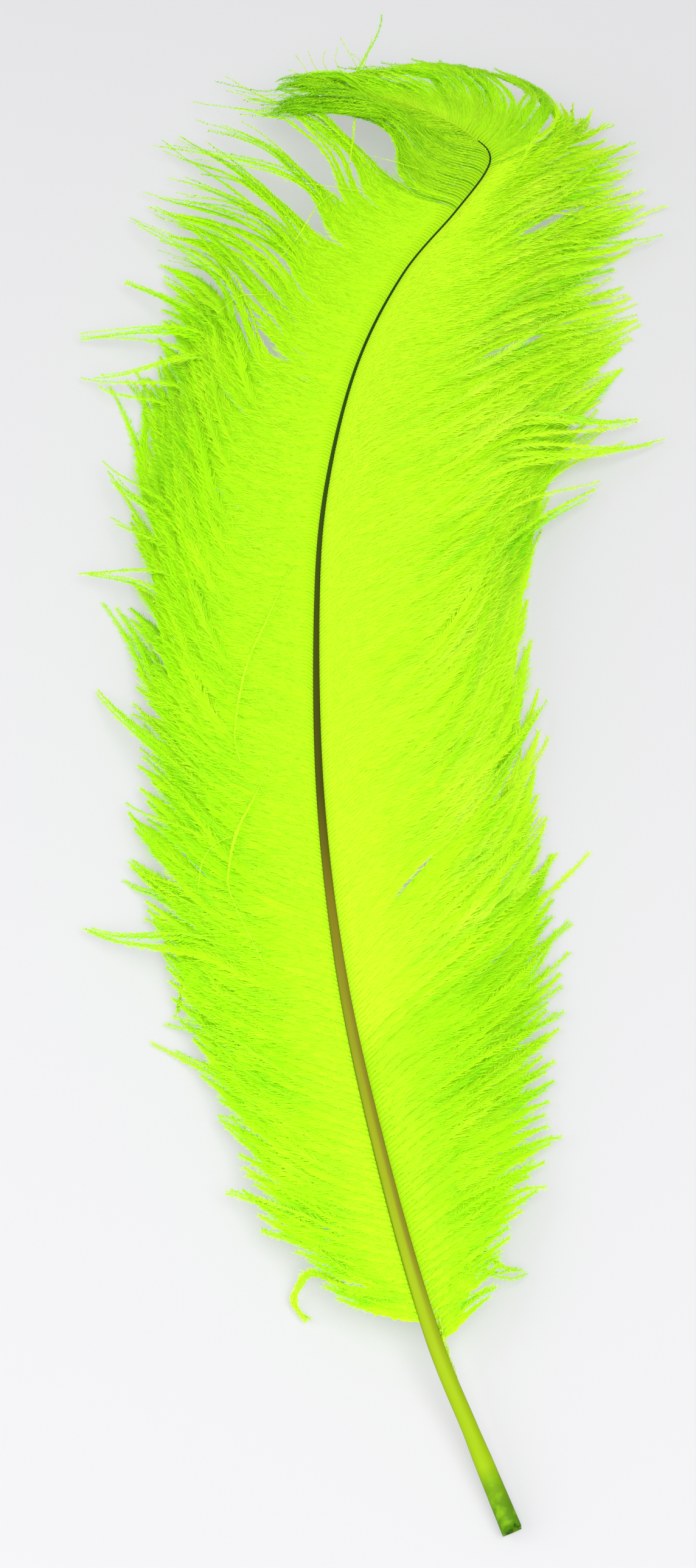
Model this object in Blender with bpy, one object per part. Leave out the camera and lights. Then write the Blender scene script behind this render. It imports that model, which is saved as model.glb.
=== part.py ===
"""A dyed ostrich plume lying on a flat surface, dorsal side up.

The cut end of the quill touches the surface, the shaft arches off it and hooks over at the
tip, and the barbs of both vanes droop from the shaft in flat tapered locks until their ends
lie on the surface. Everything is fused, because the real thing grew as one piece.

Lengths are in millimetres and headings in degrees, turned clockwise from +Y as seen from
above, until the finished meshes are scaled to metres. +Y runs from quill to tip.
"""

import math
import random

import bmesh
import bpy
import numpy as np

MM = 0.001
SEED = 11

# Moves the drawing so that the middle of its box is the origin.
CENTRE_SHIFT = (-0.4, 2.4)

# The shaft's middle line, from the cut end of the quill to the hooked tip.
SHAFT_LINE = (
    (37.0, -305.5, 3.0),
    (26.0, -279.0, 8.5),
    (14.0, -249.0, 14.5),
    (0.0, -198.0, 22.5),
    (-12.0, -140.0, 29.0),
    (-19.0, -76.0, 34.0),
    (-20.5, -5.0, 36.5),
    (-17.5, 46.0, 37.0),
    (-7.0, 102.0, 36.0),
    (10.0, 147.0, 35.0),
    (30.0, 179.0, 34.5),
    (42.0, 200.0, 34.0),
    (44.0, 211.0, 33.5),
    (38.0, 221.0, 32.0),
    (26.0, 233.0, 29.5),
    (11.0, 244.0, 26.0),
    (-5.0, 252.0, 21.0),
)

# Station along the shaft, and the shaft's width there.
SHAFT_WIDTHS = (
    (0, 6.2),
    (22, 5.6),
    (30, 5.0),
    (60, 4.8),
    (120, 4.0),
    (200, 3.1),
    (300, 2.2),
    (400, 1.5),
    (480, 1.1),
    (607, 0.9),
)
SHAFT_FLATNESS = 0.88
SHAFT_SIDES = 10
SHAFT_STEP = 15.0

# How the barbs of each side lie: station on the shaft, length, heading at the root, at one
# and two thirds and at the tip, and the tip's height.
LEFT_BARBS = (
    (68, 24, -86, -80, -74, -68, 11),
    (80, 40, -92, -84, -68, -58, 7),
    (100, 51, -95, -82, -58, -42, 3),
    (135, 62, -96, -78, -46, -32, 0),
    (176, 75, -96, -76, -38, -30, 0),
    (218, 88, -96, -76, -30, -22, 0),
    (263, 100, -96, -76, -18, -14, 0),
    (311, 110, -95, -74, -8, -12, 0),
    (363, 116, -94, -70, -4, -10, 0),
    (405, 118, -94, -60, -4, -16, 2),
    (440, 120, -92, -44, -6, -34, 3),
    (468, 132, -92, -30, -20, -44, 4),
    (490, 142, -90, -18, -34, -60, 6),
    (504, 132, -90, -12, -38, -66, 8),
    (510, 110, -88, -4, -56, -74, 12),
    (525, 102, -88, -22, -68, -76, 16),
    (540, 92, -86, -46, -68, -72, 19),
    (555, 76, -94, -70, -70, -70, 20),
    (575, 60, -92, -74, -70, -68, 19),
    (606, 36, -80, -74, -70, -68, 18),
)
RIGHT_BARBS = (
    (58, 24, 30, 45, 50, 48, 12),
    (80, 60, 25, 48, 48, 44, 7),
    (98, 78, 22, 48, 50, 42, 3),
    (135, 98, 18, 47, 50, 38, 0),
    (176, 104, 15, 46, 46, 30, 0),
    (218, 115, 14, 46, 40, 16, 0),
    (263, 126, 15, 46, 40, 14, 0),
    (286, 131, 17, 48, 44, 24, 0),
    (311, 134, 20, 49, 50, 40, 0),
    (336, 134, 24, 51, 55, 52, 0),
    (380, 130, 30, 55, 60, 60, 0),
    (420, 118, 36, 58, 66, 66, 0),
    (451, 106, 42, 61, 70, 72, 2),
    (480, 96, 48, 64, 74, 74, 3),
    (505, 86, 54, 67, 70, 48, 5),
    (522, 84, 58, 68, 56, 26, 7),
    (532, 76, 56, 46, 6, -34, 10),
    (542, 80, 48, 22, -22, -56, 12),
    (553, 75, 34, -2, -44, -66, 14),
    (570, 58, -6, -40, -66, -78, 17),
    (606, 36, -52, -66, -78, -84, 18),
)

# Locks that stray from the vane: side, station, how far along the barb they leave it, where
# their tips are, and how far their middles bow to the right of a straight line.
STRAY_LOCKS = (
    ("left", 388, 0.74, -112, 145, 4, -4),
    ("left", 374, 0.74, -109, 124, 3, 5),
    ("left", 340, 0.74, -104, 88, 3, -2),
    ("left", 316, 0.74, -99, 61, 3, 1),
    ("left", 308, 0.74, -107, 35, 4, 3),
    ("left", 250, 0.70, -98, -14, 2, -2),
    ("left", 210, 0.72, -88, -60, 2, -2),
    ("left", 196, 0.60, -85, -83, 2, -3),
    ("left", 176, 0.62, -101, -109, 2, 3),
    ("left", 78, 0.76, -21, -243, 3, 6),
    ("left", 442, 0.78, -97, 207, 4, 2),
    ("left", 424, 0.80, -99, 176, 4, 3),
    ("left", 480, 0.62, -88, 244, 7, 4),
    ("right", 480, 0.78, 113, 196, 4, 2),
    ("right", 366, 0.80, 107, 106, 3, 4),
    ("right", 348, 0.80, 106, 95, 3, 3),
    ("right", 304, 0.80, 86, 80, 2, -3),
    ("right", 200, 0.80, 61, -17, 2, 2),
    ("right", 174, 0.78, 55, -60, 2, 2),
    ("right", 70, 0.62, 44, -227, 3, 4),
    ("right", 520, 0.66, 108, 250, 6, -3),
    ("right", 600, 0.25, 3, 302, 24, 2),
)

LEFT_LOCKS = 19
LEFT_SPAN = (62.0, 446.0)
LEFT_PLUMES = (458.0, 471.0, 486.0, 503.0)
RIGHT_LOCKS = 25
RIGHT_SPAN = (56.0, 604.0)
CREST_LOCKS = (511.0, 527.0, 545.0, 564.0, 584.0, 604.0)

# The rarer the locks, the longer their barbs: spacing follows this power of the length.
SPACING_POWER = 0.7
LENGTH_SPREAD = 0.09
DROOP_EARLY = 1.9
DROOP_LATE = 1.3

# How far out along its barbs each vane is a web, by station. It parts into locks from there.
LEFT_WEB = ((60, 0.72), (200, 0.64), (420, 0.62), (500, 0.30))
RIGHT_WEB = ((56, 0.80), (300, 0.80), (370, 0.62), (500, 0.62), (545, 0.74), (606, 0.74))
WEB_ROWS = (0.0, 0.25, 0.6, 1.0)
LOCK_START = 0.86
LOCK_ROWS = (0.0, 0.35, 0.65, 0.88)
CREST_ROWS = (0.0, 0.25, 0.5, 0.75, 0.93)

# A lock's width, by how much of the space between its neighbours it fills.
LEFT_FILL = ((60, 1.12), (440, 1.12), (464, 0.66), (510, 0.66), (530, 0.9), (620, 0.9))
RIGHT_FILL = ((56, 1.15), (520, 1.15), (540, 0.8), (606, 0.8))
LOCK_TAPER = 3.6
LEAST_WIDTH = 10.0

# How far a vane's root passes the middle of the shaft, and how far a lock's skin stands off
# the skin of the web that it grows from.
ROOT_OVERLAP = 0.25
LOCK_PROUD = 0.35

# Fraction of the length, and there the height of a lock's ridge and of its edges above the
# barb's own line, and the depth of its underside below it.
LOCK_FORM = (
    (0.0, 0.5, 0.5, 0.5),
    (0.12, 1.5, 1.0, 1.0),
    (0.35, 2.4, 1.3, 1.4),
    (0.6, 2.8, 1.3, 1.8),
    (0.85, 2.4, 0.9, 2.0),
    (1.0, 0.8, 0.4, 1.2),
)
STRAY_WIDTH = 5.0
STRAY_STEPS = 3
STRAY_SIDES = 5
STRAY_TIP = 0.16
STRAY_ROOT = 0.7
STRAY_FLATNESS = 0.6

BARB_STEPS = 60
SPACING_SAMPLES = 200
DIRECTION_SPAN = 0.02
GROUND_DEPTH = 20.0
GROUND_REACH = 400.0

DYE_COLOUR = (0.45, 0.90, 0.01, 1.0)
DYE_ROUGHNESS = 0.75
SHARP_ANGLE = 40.0


def column(table, station, index):
    """Reads one column of a table at a station, in a straight line between its rows."""
    return float(np.interp(station, [row[0] for row in table], [row[index] for row in table]))


def smooth_line(points, steps=16):
    """A Catmull-Rom curve through the points."""
    knots = np.array(points, float)
    knots = np.vstack([2 * knots[0] - knots[1], knots, 2 * knots[-1] - knots[-2]])
    line = []
    for i in range(1, len(knots) - 2):
        a, b, c, d = knots[i - 1 : i + 3]
        for t in np.arange(steps) / steps:
            line.append(
                0.5
                * (
                    2 * b
                    + (c - a) * t
                    + (2 * a - 5 * b + 4 * c - d) * t**2
                    + (3 * b - a - 3 * c + d) * t**3
                )
            )
    line.append(knots[-2])
    return np.array(line)


shaft_curve = smooth_line(SHAFT_LINE)
shaft_stations = np.concatenate(
    [[0.0], np.cumsum(np.linalg.norm(np.diff(shaft_curve, axis=0), axis=1))]
)


def on_shaft(station):
    """The middle of the shaft at a station."""
    return np.array([np.interp(station, shaft_stations, shaft_curve[:, i]) for i in range(3)])


def barb_line(side, station, reach=1.0):
    """A barb from root to tip: BARB_STEPS + 1 points. reach scales its length."""
    table = LEFT_BARBS if side == "left" else RIGHT_BARBS
    length = column(table, station, 1) * reach
    turns = [column(table, station, i) for i in (2, 3, 4, 5)]
    tip_height = column(table, station, 6)
    root = on_shaft(station)
    part = np.arange(BARB_STEPS + 1) / BARB_STEPS
    heading = np.radians(np.interp((part[1:] + part[:-1]) / 2, (0, 1 / 3, 2 / 3, 1), turns))
    step = length / BARB_STEPS
    x = root[0] + step * np.concatenate([[0.0], np.cumsum(np.sin(heading))])
    y = root[1] + step * np.concatenate([[0.0], np.cumsum(np.cos(heading))])
    droop = (1 - part**DROOP_EARLY) ** DROOP_LATE
    z = tip_height + (root[2] - tip_height) * droop
    return np.stack([x, y, z], axis=1)


def along(line, fraction):
    """The point at a fraction of a barb line."""
    place = fraction * (len(line) - 1)
    return np.array([np.interp(place, range(len(line)), line[:, i]) for i in range(3)])


def lock_stations(side, count, span):
    """The stations that part the locks, closer together where the barbs are short."""
    table = LEFT_BARBS if side == "left" else RIGHT_BARBS
    spots = np.linspace(*span, SPACING_SAMPLES)
    crowding = np.cumsum([1.0 / column(table, s, 1) ** SPACING_POWER for s in spots])
    share = (crowding - crowding[0]) / (crowding[-1] - crowding[0])
    return np.interp(np.arange(count + 1) / count, share, spots)


def form_at(fraction):
    return (column(LOCK_FORM, fraction, i) for i in (1, 2, 3))


def lifted(point, height):
    return (point[0], point[1], point[2] + height)


def web_reach(side, station):
    return column(LEFT_WEB if side == "left" else RIGHT_WEB, station, 1)


def build_web(side, edges, reaches):
    """One vane from the shaft out to where it parts into locks, as a closed slab."""
    mesh = bmesh.new()
    stations = np.sort(np.concatenate([edges, (edges[:-1] + edges[1:]) / 2]))
    lines = []
    for i, station in enumerate(stations):
        lines.append(barb_line(side, station, reaches[i // 2] if i % 2 else 1.0))
    top, bottom = [], []
    for row in WEB_ROWS:
        top.append([])
        bottom.append([])
        for i, (station, line) in enumerate(zip(stations, lines)):
            fraction = row * web_reach(side, station)
            ridge, edge, depth = form_at(fraction)
            point = along(line, fraction)
            if row == 0.0:
                point -= (line[1] - line[0]) * ROOT_OVERLAP / np.linalg.norm(line[1] - line[0])
            top[-1].append(mesh.verts.new(lifted(point, ridge if i % 2 else edge)))
            if i % 2 == 0:
                bottom[-1].append(mesh.verts.new(lifted(point, -depth)))
    for k in range(len(WEB_ROWS) - 1):
        for i in range(len(top[0]) - 1):
            mesh.faces.new((top[k][i], top[k][i + 1], top[k + 1][i + 1], top[k + 1][i]))
        for i in range(len(bottom[0]) - 1):
            mesh.faces.new((bottom[k][i], bottom[k][i + 1], bottom[k + 1][i + 1], bottom[k + 1][i]))
        for i in (0, -1):
            mesh.faces.new((top[k][i], top[k + 1][i], bottom[k + 1][i], bottom[k][i]))
    for k in (0, -1):
        for i in range(len(bottom[0]) - 1):
            mesh.faces.new((*top[k][2 * i : 2 * i + 3], bottom[k][i + 1], bottom[k][i]))
    bmesh.ops.recalc_face_normals(mesh, faces=mesh.faces)
    return mesh


def build_lock(side, station, reach, spacing, rows):
    """One tapered lock with a ridge along its middle, from its first row to its tip."""
    mesh = bmesh.new()
    middle = barb_line(side, station, reach)
    edges = [barb_line(side, station + spacing * half) for half in (-0.5, 0.5)]
    fill = column(LEFT_FILL if side == "left" else RIGHT_FILL, station, 1)
    rings = []
    for fraction in rows:
        centre = along(middle, fraction)
        beyond = along(middle, min(fraction + DIRECTION_SPAN, 1.0))
        ahead = beyond - along(middle, fraction - DIRECTION_SPAN)
        across = np.array([ahead[1], -ahead[0], 0.0]) / math.hypot(ahead[0], ahead[1])
        gap = abs(np.dot(along(edges[1], fraction) - along(edges[0], fraction), across))
        taper = 1 - ((fraction - rows[0]) / (1 - rows[0])) ** LOCK_TAPER
        half = across * max(gap, LEAST_WIDTH) * fill * taper / 2
        ridge, edge, depth = (height + LOCK_PROUD for height in form_at(fraction))
        outline = (
            lifted(centre, ridge),
            lifted(centre + half, edge),
            lifted(centre + half, -depth),
            lifted(centre - half, -depth),
            lifted(centre - half, edge),
        )
        rings.append([mesh.verts.new(point) for point in outline])
    for near, far in zip(rings, rings[1:]):
        for k in range(len(near)):
            mesh.faces.new((near[k - 1], near[k], far[k], far[k - 1]))
    mesh.faces.new(rings[0])
    tip = mesh.verts.new(tuple(middle[-1]))
    for k in range(len(rings[-1])):
        mesh.faces.new((rings[-1][k - 1], rings[-1][k], tip))
    bmesh.ops.recalc_face_normals(mesh, faces=mesh.faces)
    return mesh


def tube(mesh, centres, widths, flatness, sides):
    """A closed tube of elliptical rings round a line of centres."""
    centres = np.array(centres)
    rings = []
    for i, (centre, width) in enumerate(zip(centres, widths)):
        ahead = centres[min(i + 1, len(centres) - 1)] - centres[max(i - 1, 0)]
        ahead /= np.linalg.norm(ahead)
        across = np.cross(ahead, (0, 0, 1))
        across /= np.linalg.norm(across)
        up = np.cross(across, ahead)
        ring = []
        for k in range(sides):
            angle = 2 * math.pi * (k + 0.5) / sides
            offset = across * math.cos(angle) + up * math.sin(angle) * flatness
            ring.append(mesh.verts.new(tuple(centre + offset * width / 2)))
        rings.append(ring)
    for near, far in zip(rings, rings[1:]):
        for k in range(sides):
            mesh.faces.new((near[k - 1], near[k], far[k], far[k - 1]))
    mesh.faces.new(rings[0])
    mesh.faces.new(reversed(rings[-1]))


def build_shaft():
    mesh = bmesh.new()
    length = shaft_stations[-1]
    stations = np.linspace(0, length, int(length / SHAFT_STEP))
    widths = [column(SHAFT_WIDTHS, s, 1) for s in stations]
    tube(mesh, [on_shaft(s) for s in stations], widths, SHAFT_FLATNESS, SHAFT_SIDES)
    bmesh.ops.recalc_face_normals(mesh, faces=mesh.faces)
    return mesh


def build_stray(side, station, fraction, tip_x, tip_y, tip_z, bow):
    """One lock that runs along a barb and then bends away from its neighbours."""
    mesh = bmesh.new()
    barb = barb_line(side, station)
    start = along(barb, fraction)
    tip = np.array([tip_x, tip_y, tip_z])
    span = tip - start
    bend = start + span / 2 + 2 * bow * np.array([span[1], -span[0], 0]) / np.hypot(*span[:2])
    line = [along(barb, STRAY_ROOT * fraction)]
    widths = [STRAY_WIDTH]
    for step in range(STRAY_STEPS + 1):
        part = step / STRAY_STEPS
        line.append((1 - part) ** 2 * start + 2 * part * (1 - part) * bend + part**2 * tip)
        widths.append(STRAY_WIDTH * (STRAY_TIP + (1 - STRAY_TIP) * (1 - part**2)))
    tube(mesh, line, widths, STRAY_FLATNESS, STRAY_SIDES)
    bmesh.ops.recalc_face_normals(mesh, faces=mesh.faces)
    return mesh


def build_ground():
    """The space under the surface, whose top is the plane that the feather lies on."""
    mesh = bmesh.new()
    bmesh.ops.create_cube(mesh, size=1.0)
    size = (2 * GROUND_REACH, 2 * GROUND_REACH, GROUND_DEPTH)
    bmesh.ops.scale(mesh, vec=size, verts=mesh.verts)
    bmesh.ops.translate(mesh, vec=(0, 0, -GROUND_DEPTH / 2), verts=mesh.verts)
    return mesh


def make_object(name, mesh):
    """Turns a mesh in millimetres into an object in metres, with the drawing centred."""
    bmesh.ops.translate(mesh, vec=(*CENTRE_SHIFT, 0), verts=mesh.verts)
    bmesh.ops.scale(mesh, vec=(MM, MM, MM), verts=mesh.verts)
    bmesh.ops.triangulate(mesh, faces=mesh.faces)
    data = bpy.data.meshes.new(name)
    mesh.to_mesh(data)
    mesh.free()
    thing = bpy.data.objects.new(name, data)
    bpy.context.scene.collection.objects.link(thing)
    return thing


def helper(name, mesh):
    """An object that only shapes another one."""
    thing = make_object(name, mesh)
    thing.hide_render = True
    thing.display_type = "WIRE"
    return thing


def combine(target, operation, others):
    """One Boolean of the target with every object of a list."""
    group = bpy.data.collections.new(f"{operation} forms")
    for other in others:
        group.objects.link(other)
    step = target.modifiers.new(operation, "BOOLEAN")
    step.operation = operation
    step.solver = "EXACT"
    step.operand_type = "COLLECTION"
    step.collection = group


def dye():
    material = bpy.data.materials.new("lime dyed barbs")
    material.use_nodes = True
    shader = material.node_tree.nodes["Principled BSDF"]
    shader.inputs["Base Color"].default_value = DYE_COLOUR
    shader.inputs["Roughness"].default_value = DYE_ROUGHNESS
    shader.inputs["Metallic"].default_value = 0.0
    return material


def vane_forms(side, edges, chance):
    """The web of one vane and the locks that it parts into, from the stations between them."""
    reaches = [1 + chance.uniform(-1, 1) * LENGTH_SPREAD for _ in edges[1:]]
    forms = [build_web(side, edges, reaches)]
    for start, end, reach in zip(edges, edges[1:], reaches):
        middle = (start + end) / 2
        root = LOCK_START * web_reach(side, middle)
        rows = [root + (1 - root) * row for row in LOCK_ROWS]
        forms.append(build_lock(side, middle, reach, end - start, rows))
    return forms


def crest_forms():
    """The locks inside the hook, which sweep to the left above the others."""
    forms = []
    for station, following in zip(CREST_LOCKS, CREST_LOCKS[1:]):
        spacing = following - station
        forms.append(build_lock("left", station, 1.0, spacing, CREST_ROWS))
    return forms


def main():
    for thing in list(bpy.data.objects):
        bpy.data.objects.remove(thing)
    chance = random.Random(SEED)
    left_edges = lock_stations("left", LEFT_LOCKS, LEFT_SPAN)
    forms = vane_forms("left", np.concatenate([left_edges, LEFT_PLUMES]), chance)
    forms += vane_forms("right", lock_stations("right", RIGHT_LOCKS, RIGHT_SPAN), chance)
    forms += crest_forms()
    forms += [build_stray(*stray) for stray in STRAY_LOCKS]
    feather = make_object("feather", build_shaft())
    helpers = [helper(f"barb form {i}", form) for i, form in enumerate(forms)]
    combine(feather, "UNION", helpers)
    combine(feather, "DIFFERENCE", [helper("ground form", build_ground())])
    feather.data.materials.append(dye())
    feather.data.shade_smooth()
    feather.data.set_sharp_from_angle(angle=math.radians(SHARP_ANGLE))


main()
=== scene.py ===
import math

import bpy
import numpy as np
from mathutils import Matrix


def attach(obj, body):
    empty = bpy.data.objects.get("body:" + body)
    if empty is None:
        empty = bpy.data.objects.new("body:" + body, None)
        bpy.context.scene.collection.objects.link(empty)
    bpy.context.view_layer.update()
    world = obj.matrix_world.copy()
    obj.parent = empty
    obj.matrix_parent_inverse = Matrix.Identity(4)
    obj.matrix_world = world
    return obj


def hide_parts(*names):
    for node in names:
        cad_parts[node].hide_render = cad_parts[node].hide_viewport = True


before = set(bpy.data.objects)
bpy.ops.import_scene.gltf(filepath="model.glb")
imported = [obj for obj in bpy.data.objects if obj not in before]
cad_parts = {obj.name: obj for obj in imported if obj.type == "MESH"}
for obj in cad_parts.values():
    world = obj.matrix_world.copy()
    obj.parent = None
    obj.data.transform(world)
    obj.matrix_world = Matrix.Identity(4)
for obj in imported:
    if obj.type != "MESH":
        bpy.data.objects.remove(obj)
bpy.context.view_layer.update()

# Lengths are in millimetres and headings in degrees, clockwise from +Y as seen from above,
# until a finished mesh is scaled to metres. The shaft's line and widths repeat the part's own.
millimetre = 0.001
centreShift = np.array([-0.4, 2.4, 0.0])  # from the lines below to the middle of the part's box
groundGap = 0.25  # fibres stay this far above the floor

shaftLine = (
    (37.0, -305.5, 3.0),
    (26.0, -279.0, 8.5),
    (14.0, -249.0, 14.5),
    (0.0, -198.0, 22.5),
    (-12.0, -140.0, 29.0),
    (-19.0, -76.0, 34.0),
    (-20.5, -5.0, 36.5),
    (-17.5, 46.0, 37.0),
    (-7.0, 102.0, 36.0),
    (10.0, 147.0, 35.0),
    (30.0, 179.0, 34.5),
    (42.0, 200.0, 34.0),
    (44.0, 211.0, 33.5),
    (38.0, 221.0, 32.0),
    (26.0, 233.0, 29.5),
    (11.0, 244.0, 26.0),
    (-5.0, 252.0, 21.0),
)
# station, which is the way along the shaft from its cut end, and width
shaftWidths = (
    (0, 6.2),
    (22, 5.6),
    (30, 5.0),
    (60, 4.8),
    (120, 4.0),
    (200, 2.9),
    (300, 2.0),
    (400, 1.2),
    (480, 0.8),
    (607, 0.6),
)

# station, length, headings at the root, at one and two thirds and at the tip, tip height
barbTables = {
    "left": (
        (68, 34, -80, -80, -74, -60, 11),
        (80, 58, -82, -76, -60, -54, 7),
        (100, 73, -80, -62, -42, -48, 3),
        (135, 86, -74, -62, -42, -40, 0),
        (176, 96, -72, -60, -36, -40, 0),
        (218, 106, -74, -48, -24, -36, 0),
        (263, 126, -78, -44, -12, -26, 0),
        (311, 140, -94, -34, -10, -20, 0),
        (345, 140, -96, -30, -4, -26, 0),
        (380, 134, -98, -32, -4, -42, 0),
        (405, 130, -96, -26, -12, -52, 2),
        (440, 130, -84, -16, -42, -60, 3),
        (468, 134, -90, -26, -28, -54, 4),
        (490, 142, -90, -18, -34, -60, 6),
        (504, 132, -90, -12, -38, -66, 8),
        (510, 110, -88, -4, -56, -74, 12),
        (525, 102, -88, -22, -68, -76, 16),
        (540, 92, -86, -46, -68, -72, 19),
        (555, 76, -94, -70, -70, -70, 20),
        (575, 60, -92, -74, -70, -68, 19),
        (606, 36, -80, -74, -70, -68, 18),
    ),
    "right": (
        (58, 24, 30, 45, 50, 48, 12),
        (80, 52, 42, 54, 48, 56, 7),
        (98, 64, 40, 50, 52, 60, 3),
        (135, 98, 36, 51, 38, 28, 0),
        (176, 134, 36, 37, 28, 10, 0),
        (218, 152, 36, 43, 18, 9, 0),
        (263, 162, 34, 44, 22, 18, 0),
        (286, 168, 36, 46, 25, 36, 0),
        (311, 172, 36, 49, 31, 45, 0),
        (336, 166, 34, 52, 33, 50, 0),
        (380, 150, 36, 53, 48, 58, 0),
        (420, 140, 48, 51, 38, 58, 0),
        (451, 132, 52, 54, 43, 56, 2),
        (480, 120, 56, 40, 46, 54, 3),
        (505, 98, 48, 38, 27, 30, 5),
        (520, 86, 48, 46, 34, 16, 7),
        (532, 76, 56, 46, 6, -34, 10),
        (542, 78, 46, 18, -26, -60, 11),
        (553, 73, 29, -8, -48, -70, 13),
        (570, 57, -10, -44, -68, -80, 16),
        (606, 36, -52, -66, -78, -84, 18),
    ),
}
droopValues = {"late": 1.9, "round": 1.3}  # how a barb comes down from the shaft to its tip


def smoothLine(points, steps=24):
    # a Catmull-Rom curve through the points
    knots = np.array(points, float)
    knots = np.vstack([2 * knots[0] - knots[1], knots, 2 * knots[-1] - knots[-2]])
    t = (np.arange(steps) / steps)[:, None]
    line = []
    for a, b, c, d in zip(knots, knots[1:], knots[2:], knots[3:]):
        line.append(
            0.5
            * (2 * b + (c - a) * t + (2 * a - 5 * b + 4 * c - d) * t**2)
            + 0.5 * (3 * b - a - 3 * c + d) * t**3
        )
    return np.vstack([*line, knots[-2][None]])


shaftCurve = smoothLine(shaftLine)
shaftStations = np.concatenate(
    [[0.0], np.cumsum(np.linalg.norm(np.diff(shaftCurve, axis=0), axis=1))]
)


def onShaft(stations):
    return np.stack([np.interp(stations, shaftStations, shaftCurve[:, i]) for i in range(3)], -1)


def shaftWidth(stations):
    return np.interp(stations, *np.array(shaftWidths).T)


def readTable(side, stations, column):
    table = np.array(barbTables[side], float)
    return np.interp(stations, table[:, 0], table[:, column])


# how far along a barb its rows lie; they are closer together beside the shaft
rowCrowding = 1.4
lastRow = 40
rowParts = (np.arange(lastRow + 1) / lastRow) ** rowCrowding


def rowPlace(part):
    return part ** (1 / rowCrowding) * lastRow


def barbLines(side, stations, reaches, wander, hurry, part=rowParts):
    # the middle line of each barb; wander turns it and hurry makes it turn sooner
    middle = (part[1:] + part[:-1]) / 2
    length = readTable(side, stations, 1) * reaches
    turns = np.stack([readTable(side, stations, i) for i in (2, 3, 4, 5)], 1)
    place = 3 * (middle + 4 * np.reshape(hurry, (-1, 1)) * middle * (1 - middle))
    place = np.broadcast_to(place, (len(stations), len(middle)))
    low = np.clip(np.floor(place).astype(int), 0, 2)
    before = np.take_along_axis(turns, low, 1)
    after = np.take_along_axis(turns, low + 1, 1)
    heading = np.radians(before + (after - before) * (place - low) + wander)
    step = length[:, None] * np.diff(part)
    root = onShaft(stations)
    zero = np.zeros((len(stations), 1))
    x = root[:, :1] + np.hstack([zero, np.cumsum(np.sin(heading) * step, axis=1)])
    y = root[:, 1:2] + np.hstack([zero, np.cumsum(np.cos(heading) * step, axis=1)])
    droop = (1 - part ** droopValues["late"]) ** droopValues["round"]
    tipHeight = readTable(side, stations, 6)[:, None]
    z = tipHeight + (root[:, 2:] - tipHeight) * droop
    return np.stack([x, y, z], axis=2)


def smoothStep(low, high, x):
    t = np.clip((x - low) / (high - low), 0, 1)
    return t * t * (3 - 2 * t)


# heights of the arched sheet that the barbs form, on a grid over the plan
sheetValues = {
    "cell": 2.0,
    "low": (-140.0, -330.0),
    "cells": (140, 332),
    "stationStep": 0.8,
    "samples": 91,
    "spread": 16,
}


def makeSheet():
    total = np.zeros(sheetValues["cells"])
    seen = np.zeros(sheetValues["cells"])
    part = np.linspace(0, 1, sheetValues["samples"])
    for side, table in barbTables.items():
        stations = np.arange(table[0][0], table[-1][0], sheetValues["stationStep"])
        reaches = np.ones(len(stations))
        points = barbLines(side, stations, reaches, 0.0, 0.0, part).reshape(-1, 3)
        spot = ((points[:, :2] - sheetValues["low"]) / sheetValues["cell"]).astype(int)
        np.add.at(total, (spot[:, 0], spot[:, 1]), points[:, 2])
        np.add.at(seen, (spot[:, 0], spot[:, 1]), 1.0)
    height = total / np.maximum(seen, 1)
    known = (seen > 0) * 1.0
    shifts = [(i, j) for i in (-1, 0, 1) for j in (-1, 0, 1)]
    # the heights spread outwards, a cell at a time
    for _ in range(sheetValues["spread"]):
        sums = sum(np.roll(height * known, shift, (0, 1)) for shift in shifts)
        counts = sum(np.roll(known, shift, (0, 1)) for shift in shifts)
        height = np.where(known > 0, height, sums / np.maximum(counts, 1))
        known = (counts > 0) * 1.0
    return sum(np.roll(height, shift, (0, 1)) for shift in shifts) / len(shifts)


sheet = makeSheet()


def sheetHeight(points):
    place = (points[..., :2] - sheetValues["low"]) / sheetValues["cell"] - 0.5
    low = np.clip(np.floor(place).astype(int), 0, np.array(sheet.shape) - 2)
    x, y = np.moveaxis(np.clip(place - low, 0, 1), -1, 0)
    i, j = low[..., 0], low[..., 1]
    near = sheet[i, j] * (1 - y) + sheet[i, j + 1] * y
    far = sheet[i + 1, j] * (1 - y) + sheet[i + 1, j + 1] * y
    return near * (1 - x) + far * x


def shareOut(chance, stations, widths):
    # number of the lock that each barb belongs to, and the station of each lock's middle
    edges = []
    place = stations[0]
    while place < stations[-1]:
        place += chance.uniform(*widths)
        edges.append(place)
    _, lock = np.unique(np.searchsorted(edges, stations), return_inverse=True)
    middles = np.array([stations[lock == number].mean() for number in range(lock.max() + 1)])
    return lock, middles


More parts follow.
